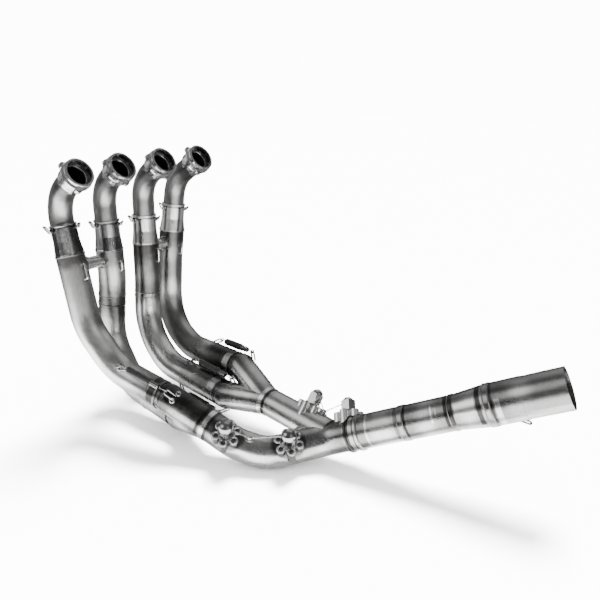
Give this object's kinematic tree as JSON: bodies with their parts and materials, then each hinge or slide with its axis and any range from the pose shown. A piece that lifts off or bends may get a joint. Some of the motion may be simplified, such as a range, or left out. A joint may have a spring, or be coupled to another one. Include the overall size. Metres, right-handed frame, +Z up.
{
  "type": "motorcycle exhaust header",
  "caption": "Header of bent tubes with turned inlet collars that merge in pairs and then into one outlet tube, with slip joints, springs and sensor plugs.",
  "frame": {"origin": "centre of the rim of inlet collar 1, the one on the side away from the outlet", "axes": "+X runs to the rear of the motorcycle, +Y along the row of inlet collars from collar 1 to collar 4, +Z up"},
  "size_m": [0.8165, 0.3282, 0.4523],
  "materials": {
    "turned_collar": "turned, satin",
    "brushed_tube": "brushed, satin",
    "cast_collector": "brushed, darker",
    "darkened_joint": "satin, darkened by heat",
    "boss": "machined",
    "plug": "machined, bright",
    "spring_wire": "drawn wire",
    "spring_sleeve": "dull black sleeve"
  },
  "bodies": {
    "root": {"balance_hooks": "spring_wire", "balance_socket_12": "brushed_tube", "balance_socket_34": "brushed_tube", "balance_spigot_12": "brushed_tube", "balance_spigot_34": "brushed_tube", "collector_12": "cast_collector", "collector_34": "cast_collector", "collector_spring_hooks": "spring_wire", "cross_tube": "brushed_tube", "head_bend_1": "brushed_tube", "head_bend_2": "brushed_tube", "head_bend_3": "brushed_tube", "head_bend_4": "brushed_tube", "inlet_collar_1": "turned_collar", "inlet_collar_2": "turned_collar", "inlet_collar_3": "turned_collar", "inlet_collar_4": "turned_collar", "joint_springs": "spring_wire", "link_pipe_front": "brushed_tube", "link_pipe_rear": "brushed_tube", "link_ring": "darkened_joint", "outlet_band": "darkened_joint", "plug_a": "plug", "plug_b": "plug", "plug_c": "plug", "plug_d": "plug", "primary_1": "brushed_tube", "primary_2": "brushed_tube", "primary_2_upper": "brushed_tube", "primary_3": "brushed_tube", "primary_3_upper": "brushed_tube", "primary_4": "brushed_tube", "primary_spring_hooks": "spring_wire", "safety_wire_ab": "spring_wire", "safety_wire_cd": "spring_wire", "secondary_12": "brushed_tube", "secondary_34": "brushed_tube", "sensor_boss_a": "boss", "sensor_boss_b": "boss", "sensor_boss_c": "boss", "sensor_boss_d": "boss", "slip_joint_hooks": "spring_wire", "slip_sleeve_1": "darkened_joint", "slip_sleeve_2": "darkened_joint", "slip_sleeve_3": "darkened_joint", "slip_sleeve_4": "darkened_joint", "spring_sleeves": "spring_sleeve", "tail_band": "darkened_joint", "tail_cone": "brushed_tube", "tail_hook": "spring_wire", "tail_tube": "brushed_tube", "wire_lug_ab": "boss", "wire_lug_cd": "boss"}
  },
  "joints": []
}
